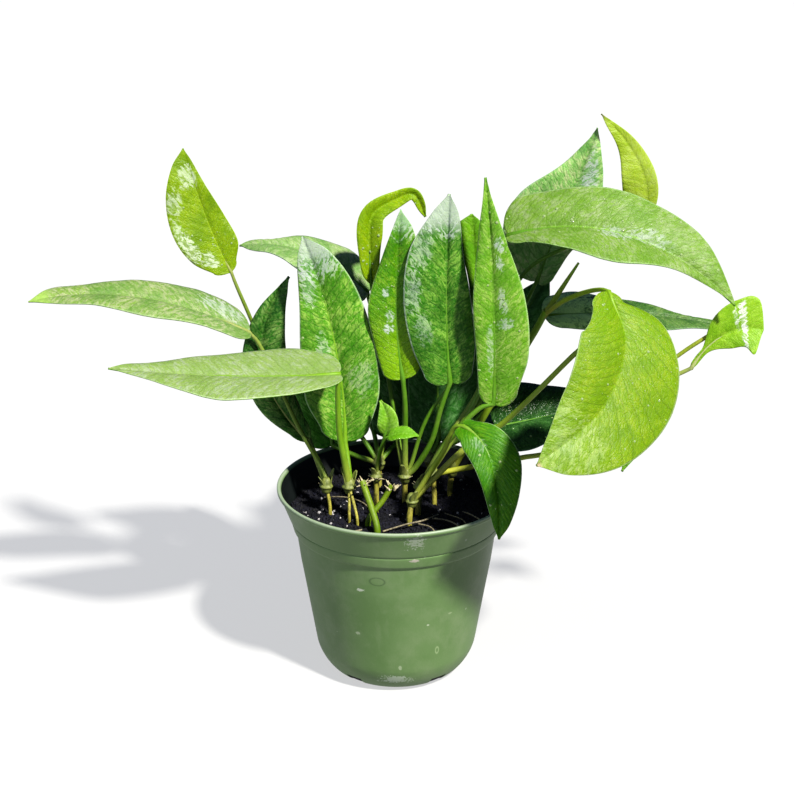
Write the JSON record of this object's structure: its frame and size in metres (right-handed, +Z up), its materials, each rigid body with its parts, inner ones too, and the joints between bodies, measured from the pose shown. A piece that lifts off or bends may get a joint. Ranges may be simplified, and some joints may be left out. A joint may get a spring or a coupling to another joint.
{
  "type": "potted pothos plant",
  "caption": "Houseplant with long pointed silvery green leaves on slender petioles, rooted in the soil of a thin flared plastic nursery pot that stands on its flat base.",
  "frame": {"origin": "centre of the pot's base, on the surface that the pot stands on", "axes": "+Z up out of the pot, +X to the right seen from the front, -Y towards the front"},
  "size_m": [0.3192, 0.2181, 0.2553],
  "materials": {
    "pot_plastic": "satin moulded plastic, olive green, slightly scuffed",
    "potting_soil": "moist dark crumbly potting mix with white perlite",
    "leaf_green": "waxy leaf skin with silvery mottling and fine veins",
    "stem_green": "smooth yellow green stem skin"
  },
  "bodies": {
    "root": {"pot": "pot_plastic", "soil": "potting_soil", "shoot_left": "leaf_green", "shoot_front_left": "leaf_green", "shoot_centre": "leaf_green", "shoot_right": "leaf_green", "vine_right": "leaf_green", "shoot_front_right": "leaf_green", "runner_right": "leaf_green", "shoot_small": "leaf_green", "shoot_back_left": "leaf_green", "shoot_back_right": "leaf_green", "cutting_front": "stem_green", "cutting_crossing": "stem_green"}
  },
  "joints": []
}
